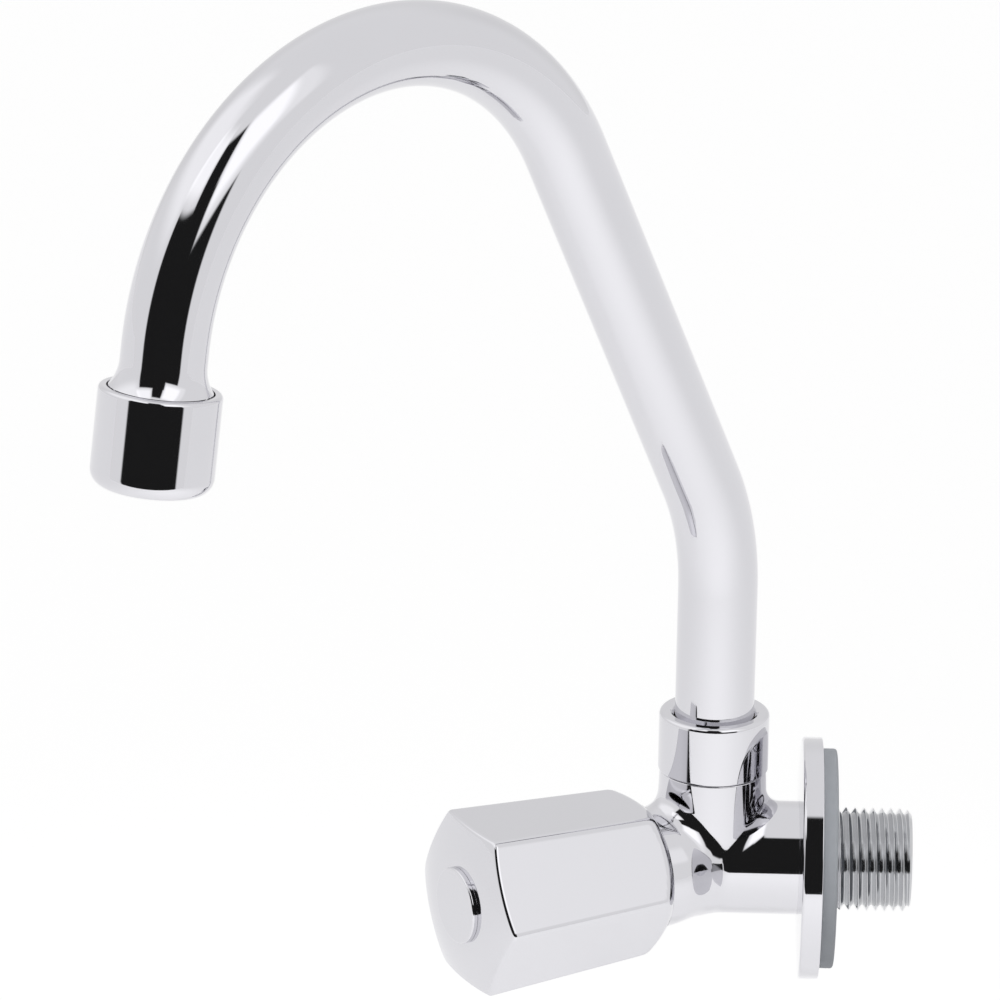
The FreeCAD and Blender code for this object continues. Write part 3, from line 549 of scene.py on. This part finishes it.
lay_mesh("spout_tube_bent", *joined(tube, bore, bell_edge), chrome,
         "spout", "spout_tube", "polished_chrome")

# Mouth of the spout
# A turned and plated housing screws on the ring at the tube's end. It holds a washer, a
# moulded insert with nineteen jets and a wire screen.
housing_radius, housing_bore, housing_top, housing_foot = 11.4 * MM, 9.88 * MM, 4.8 * MM, 23.5 * MM
housing_opening, ledge = 7.6 * MM, housing_foot - 2.5 * MM
top_round, foot_round, bore_round, opening_round = 0.8 * MM, 3.2 * MM, 0.2 * MM, 0.25 * MM
lay_mesh("aerator_housing_turned", *turned(mouth, [
    (housing_bore, housing_top, bore_round), (housing_radius, housing_top, top_round),
    (housing_radius, housing_foot, foot_round), (housing_opening, housing_foot, opening_round),
    (housing_opening, ledge, bore_round), (housing_bore, ledge)]),
    chrome, "spout", "aerator_housing", "polished_chrome")

# Knob
# A hollow six-sided casting, polished and plated: it swells towards a domed front and
# is rounded off behind. Its inside is painted near-black, as painted shade in the hollow.
knob_rear, knob_corner, knob_crown = 16.3 * MM, 55.6 * MM, 57.9 * MM
rear_circle, front_circle, land_radius = 17.2 * MM, 19.3 * MM, 8.6 * MM
mouth_radius, rear_blend, opening_radius, cavity_radius = 13.5 * MM, 4.8 * MM, 14.1 * MM, 13.7 * MM
ridge_round, edge_round, rear_round = 1.0 * MM, 0.7 * MM, 1.2 * MM
dome_bulge, rear_share = 0.5 * MM, 0.56
knob_rest = math.radians(-1.7)
cavity_end, cavity_round, screw_hole = knob_corner - 4.0 * MM, 1.0 * MM, 5.0 * MM
opening_over, opening_under = 0.03 * MM, 0.1 * MM
# Near-black for the knob's hollow inside: painted shade where little light gets in.
painted_hollow_shade = finish("painted_hollow_shade", (0.06, 0.06, 0.062), 0.6,
                     tone_drift=0.2, gloss_drift=0.1, grain=200.0, bump=0.2)
knob_sides = 6
side_turn = 2 * math.pi / knob_sides
flat_share = math.cos(side_turn / 2)


def circle_through(first, middle, last):
    """Centre and radius of the circle through three spots."""
    (ax, ay), (bx, by), (cx, cy) = first, middle, last
    double = 2 * (ax * (by - cy) + bx * (cy - ay) + cx * (ay - by))
    a, b, c = ax * ax + ay * ay, bx * bx + by * by, cx * cx + cy * cy
    x = (a * (by - cy) + b * (cy - ay) + c * (ay - by)) / double
    y = (a * (cx - bx) + b * (ax - cx) + c * (bx - ax)) / double
    return x, y, math.hypot(ax - x, ay - y)


chord = unit((front_circle - land_radius, knob_corner - knob_crown))
dome_middle = (0.5 * (land_radius + front_circle) - dome_bulge * chord[1],
               0.5 * (knob_crown + knob_corner) + dome_bulge * chord[0])
dome = circle_through((land_radius, knob_crown), dome_middle, (front_circle, knob_corner))
rear_middle = (mouth_radius + rear_share * (front_circle - mouth_radius),
               knob_rear + (1 - rear_share) * rear_blend)
rear_arc = circle_through((mouth_radius, knob_rear), rear_middle, (front_circle, knob_rear + rear_blend))
rear_lip = rear_arc[1] - math.sqrt(rear_arc[2] ** 2 - (opening_radius - rear_arc[0]) ** 2)


def soft_greater(first, second, blend):
    """The greater of two distances, rounded over where they cross."""
    mix = np.maximum(blend - np.abs(first - second), 0) / blend
    return np.maximum(first, second) + mix * mix * blend / 4


def knob_skin(places):
    """Distance from the knob's outside, in its own axes: across, across, along."""
    long = places[:, 2]
    flat = np.hypot(places[:, 0], places[:, 1])
    grow = (front_circle - rear_circle) * flat_share / (knob_corner - knob_rear)
    apothem = rear_circle * flat_share + grow * (long - knob_rear)
    sides = None
    for side in range(knob_sides):
        turn = knob_rest + (side + 0.5) * side_turn
        out = places[:, 0] * math.cos(turn) + places[:, 1] * math.sin(turn)
        plane = (out - apothem) / math.hypot(1, grow)
        sides = plane if sides is None else soft_greater(sides, plane, ridge_round)
    front = np.hypot(np.maximum(flat - dome[0], 0), long - dome[1]) - dome[2]
    front = np.where(long > dome[1], np.maximum(front, long - knob_crown), -dome[2])
    behind = np.where((long < rear_arc[1]) & (flat > rear_arc[0]),
                      np.hypot(flat - rear_arc[0], long - rear_arc[1]) - rear_arc[2], -1.0)
    behind = np.maximum(behind, rear_lip - long)
    return soft_greater(soft_greater(sides, behind, rear_round), front, edge_round)


halvings = 40


def cast_out(starts, ways, reach):
    """Where rays from inside the knob leave it."""
    low, high = np.zeros(len(starts)), np.full(len(starts), reach)
    for _ in range(halvings):
        middle = 0.5 * (low + high)
        inside = knob_skin(starts + middle[:, None] * ways) < 0
        low, high = np.where(inside, middle, low), np.where(inside, high, middle)
    return starts + (0.5 * (low + high))[:, None] * ways


per_side, crowding, edge_rounds, side_rows, row_power, front_rows = 32, 0.75, 12, 40, 1.8, 16
inset, probe_depth, side_flare, first_row = 1.3 * MM, 2.0 * MM, 0.045, rear_lip + 0.02 * MM
front_hole, front_probe = 6.5 * MM, 50.0 * MM
side_reach, corner_reach, front_reach = 30.0 * MM, 6.0 * MM, 12.0 * MM
corner_tilts = np.radians((10, 20, 28, 34, 39, 43, 47, 51, 56, 62, 70, 80))
steps = np.arange(per_side) / per_side
eased = steps - crowding * np.sin(2 * math.pi * steps) / (2 * math.pi)
knob_turns = np.concatenate([knob_rest + (side + eased) * side_turn for side in range(knob_sides)])
columns = len(knob_turns)
outward = np.stack([np.cos(knob_turns), np.sin(knob_turns), np.zeros(columns)], axis=1)
upright = np.array([0.0, 0.0, 1.0])
edge_long = np.full(columns, knob_corner)
for _ in range(edge_rounds):
    spots = cast_out(np.outer(edge_long - probe_depth, upright), outward, side_reach)
    edge_flat = np.hypot(spots[:, 0], spots[:, 1]) * (1 + probe_depth * side_flare / front_circle)
    edge_long = dome[1] + np.sqrt(dome[2] ** 2 - np.maximum(edge_flat - dome[0], 0) ** 2)
knob_rows = []
for part in np.linspace(0, 1, side_rows) ** row_power:
    level = first_row + part * (edge_long - inset - first_row)
    knob_rows.append(cast_out(level[:, None] * upright, outward, side_reach))
corner_spots = (edge_flat - inset)[:, None] * outward + (edge_long - inset)[:, None] * upright
for tilt in corner_tilts:
    tilted = math.cos(tilt) * outward + math.sin(tilt) * upright
    knob_rows.append(cast_out(corner_spots, tilted, corner_reach))
for part in np.linspace(1, 0, front_rows):
    flat = front_hole + part * (edge_flat - inset - front_hole)
    starts = flat[:, None] * outward + front_probe * upright
    knob_rows.append(cast_out(starts, np.tile(upright, (columns, 1)), front_reach))
local = np.concatenate(knob_rows)
local_normals = unit(slope(knob_skin, local))
knob_frame = np.stack([valve.across, valve.other, valve.along])
knob_places = valve.start + local @ knob_frame
knob_normals = local_normals @ knob_frame
shell_faces = facing(knob_places, grid_faces(len(knob_rows), columns), knob_normals)
shell = (knob_places, shell_faces, knob_normals)
mouth_rim = turned(valve, [
    (opening_radius + opening_over, rear_lip), (opening_radius - opening_under, rear_lip),
    (cavity_radius, rear_lip + cavity_round, cavity_round), (cavity_radius, cavity_end, cavity_round),
    (screw_hole, cavity_end)], closed=False, hollow=True)
knob = lay_mesh("knob_cast", *joined(shell, mouth_rim), chrome, "handle", "knob", "polished_chrome")
# The hollow's faces take the near-black painted shade.
knob.data.materials.append(painted_hollow_shade)
for face in knob.data.polygons[len(shell_faces):]:
    face.material_index = 1

# Button of the knob
# A plain turned and plated disc that snaps over the screw in the middle of the front.
button_radius, button_top, button_foot = 7.75 * MM, knob_crown + 1.18 * MM, knob_crown + 0.02 * MM
button_middle, button_edge = 0.01 * MM, 0.45 * MM
lay_mesh("index_button", *turned(valve, [
    (button_middle, button_top), (button_radius, button_top, button_edge), (button_radius, button_foot),
    (button_middle, button_foot)], closed=False), chrome, "handle", "index_cap", "polished_chrome")

# Working parts inside
# Turned brass, fibre packing, black rubber rings, moulded plastic and steel, as they
# come from the lathe and the mould. Only the ring in the spout's bell is plated.
brass = finish("turned_brass", (0.62, 0.45, 0.20), 0.28, metal=1.0,
               tone_drift=0.1, gloss_drift=0.1, grain=120.0)
fibre = finish("red_fibre", (0.30, 0.10, 0.06), 0.8, tone_drift=0.3, grain=300.0, bump=0.3)
rubber = finish("black_rubber", (0.025, 0.025, 0.027), 0.55,
                tone_drift=0.3, gloss_drift=0.15, grain=200.0, bump=0.1)
plastic = finish("white_plastic", (0.80, 0.80, 0.78), 0.35,
                 tone_drift=0.05, gloss_drift=0.1, grain=150.0)
steel = finish("plain_steel", (0.55, 0.55, 0.56), 0.25, metal=1.0,
               tone_drift=0.08, gloss_drift=0.1, grain=150.0)
for material, names in (
        (chrome, ("spout_end_ring",)),
        (brass, ("headwork", "gland_nut", "jumper", "washer_nut", "spindle", "spout_spigot")),
        (fibre, ("headwork_gasket", "gland_packing")),
        (rubber, ("tap_washer", "spout_ring_lower", "spout_ring_upper", "aerator_washer")),
        (plastic, ("slip_washer", "aerator_insert")),
        (steel, ("knob_screw", "aerator_screen"))):
    for name in names:
        inner_piece = frame["nodes"][name]
        inner_piece.data.materials.clear()
        inner_piece.data.materials.append(material)

# Camera, floor and light
# A plain pale studio: white floor and surroundings, one dark opening on the camera's
# side, soft lamps to either side of it.
target = np.array([-3.848, -69.185, 74.085]) * MM
view_bearing, view_climb, view_roll = math.radians(1.144), math.radians(18.997), math.radians(0.896)
view_distance, view_lens, view_sensor = 1232.872 * MM, 221.81, 36.0


def facing_matrix(spot, back, roll=0.0):
    """Stand a camera or lamp at a spot with its back to a direction."""
    level_right = unit(np.cross((0, 0, 1), back))
    level_up = np.cross(back, level_right)
    right = math.cos(roll) * level_right + math.sin(roll) * level_up
    up = math.cos(roll) * level_up - math.sin(roll) * level_right
    return Matrix([tuple(row) for row in zip(right, up, back, spot)]).to_4x4()


camera = bpy.data.cameras.new("camera")
camera.sensor_width = view_sensor
camera.lens = view_lens
camera_piece = bpy.data.objects.new("camera", camera)
view_back = np.array([math.cos(view_bearing) * math.cos(view_climb),
                      math.sin(view_bearing) * math.cos(view_climb), math.sin(view_climb)])
camera_piece.matrix_world = facing_matrix(target + view_distance * view_back, view_back, view_roll)
bpy.context.scene.collection.objects.link(camera_piece)
bpy.context.scene.camera = camera_piece
bpy.context.scene.view_settings.view_transform = "Standard"

floor_level, floor_front, floor_far = -0.09, 0.44, 5.0
floor_glow = (0.63, 0.63, 0.63, 1)
floor_corners = ((-floor_far, -floor_far), (floor_front, -floor_far),
                 (floor_front, floor_far), (-floor_far, floor_far))
floor_mesh = bpy.data.meshes.new("floor")
floor_mesh.from_pydata([(x, y, floor_level) for x, y in floor_corners], [], [(0, 1, 2, 3)])
floor = bpy.data.objects.new("floor", floor_mesh)
bpy.context.scene.collection.objects.link(floor)
paper = finish("floor_paper", (0.60, 0.60, 0.60), 0.9, tone_drift=0.02, grain=3.0, bump=0.0)
tree = paper.node_tree
seen = tree.nodes.new("ShaderNodeLightPath")
either = tree.nodes.new("ShaderNodeMath")
either.operation = "MAXIMUM"
any_of = tree.nodes.new("ShaderNodeMath")
any_of.operation = "MAXIMUM"
tree.links.new(seen.outputs["Is Camera Ray"], either.inputs[0])
tree.links.new(seen.outputs["Is Glossy Ray"], either.inputs[1])
tree.links.new(either.outputs[0], any_of.inputs[0])
tree.links.new(seen.outputs["Is Transmission Ray"], any_of.inputs[1])
lit = tree.nodes["Principled BSDF"]
lit.inputs["Emission Color"].default_value = floor_glow
tree.links.new(any_of.outputs[0], lit.inputs["Emission Strength"])
floor_mesh.materials.append(paper)

world = bpy.data.worlds.new("studio")
bpy.context.scene.world = world
world.use_nodes = True
tree = world.node_tree
make, link = tree.nodes.new, tree.links.new
place = make("ShaderNodeTexCoord")
split = make("ShaderNodeSeparateXYZ")
link(place.outputs["Generated"], split.inputs[0])


def sum_up(kind, first, second=None, third=None):
    """One arithmetic step of the surroundings' shading."""
    step = make("ShaderNodeMath")
    step.operation = kind
    for index, value in enumerate((first, second, third)):
        if value is None:
            continue
        if isinstance(value, float):
            step.inputs[index].default_value = value
        else:
            link(value, step.inputs[index])
    return step.outputs[0]


def ramp(value, low, high):
    """0 below low, 1 above high, smooth between."""
    step = make("ShaderNodeMapRange")
    step.interpolation_type = "SMOOTHSTEP"
    link(value, step.inputs["Value"])
    step.inputs["From Min"].default_value = low
    step.inputs["From Max"].default_value = high
    return step.outputs["Result"]


bearing = sum_up("MULTIPLY", sum_up("ARCTAN2", split.outputs[1], split.outputs[0]), math.degrees(1))
climb = sum_up("MULTIPLY", sum_up("ARCSINE", split.outputs[2]), math.degrees(1))


def patch(left, right, low, high, soft):
    """A soft-edged window in the surroundings, in degrees."""
    within_sides = (ramp(bearing, left - soft, left + soft), ramp(bearing, right + soft, right - soft))
    within_ends = (ramp(climb, low - soft, low + soft), ramp(climb, high + soft, high - soft))
    return sum_up("MULTIPLY", sum_up("MULTIPLY", *within_sides), sum_up("MULTIPLY", *within_ends))


dark_windows = ((-55.0, 15.0, -70.0, 38.0, 2.0), (-17.0, 47.0, -70.0, 18.0, 2.0),
                (-17.0, 13.0, 30.0, 61.0, 2.0))
soft_boxes = ((0.16, (17.0, 70.0, 20.0, 62.0, 4.0)), (0.35, (17.0, 57.0, 26.0, 60.0, 5.0)),
              (0.26, (-135.0, -62.0, 28.0, 72.0, 12.0)), (0.4, (-65.0, -21.0, 43.0, 66.0, 5.0)))
wall_glow, back_dimming, window_dimming, diffuse_glow = 0.96, -0.09, -0.985, 0.55
back = sum_up("MULTIPLY", ramp(sum_up("ABSOLUTE", bearing), 120.0, 150.0), ramp(climb, 48.0, 18.0))
bright = sum_up("MULTIPLY_ADD", back, back_dimming, wall_glow)
for gain, box in soft_boxes:
    bright = sum_up("MULTIPLY_ADD", patch(*box), gain, bright)
opening = patch(*dark_windows[0])
for window in dark_windows[1:]:
    opening = sum_up("MAXIMUM", opening, patch(*window))
level = sum_up("MULTIPLY", bright, sum_up("MULTIPLY_ADD", opening, window_dimming, 1.0))
seen = make("ShaderNodeLightPath")
glint = sum_up("MAXIMUM", seen.outputs["Is Glossy Ray"], seen.outputs["Is Transmission Ray"])
room = make("ShaderNodeMix")
room.data_type = "FLOAT"
link(glint, room.inputs[0])
room.inputs[2].default_value = diffuse_glow
link(level, room.inputs[3])
shown = make("ShaderNodeMix")
shown.data_type = "FLOAT"
link(seen.outputs["Is Camera Ray"], shown.inputs[0])
link(room.outputs[0], shown.inputs[2])
shown.inputs[3].default_value = 1.0
link(shown.outputs[0], tree.nodes["Background"].inputs["Strength"])
tree.nodes["Background"].inputs["Color"].default_value = (1, 1, 1, 1)

lamp_target = np.array([0.24, 0.0, floor_level])
lamps = (("key_lamp", (0.30, 0.03, 0.75), 0.25, 0.3, math.radians(55)),
         ("fill_lamp", (1.1, -0.5, 0.5), 0.7, 2.0, math.pi))
for name, spot, size, watts, spread in lamps:
    light = bpy.data.lights.new(name, "AREA")
    light.size = size
    light.energy = watts
    light.spread = spread
    lamp_piece = bpy.data.objects.new(name, light)
    lamp_piece.visible_glossy = False
    lamp_piece.matrix_world = facing_matrix(np.array(spot), unit(np.array(spot) - lamp_target))
    bpy.context.scene.collection.objects.link(lamp_piece)

bpy.context.view_layer.update()
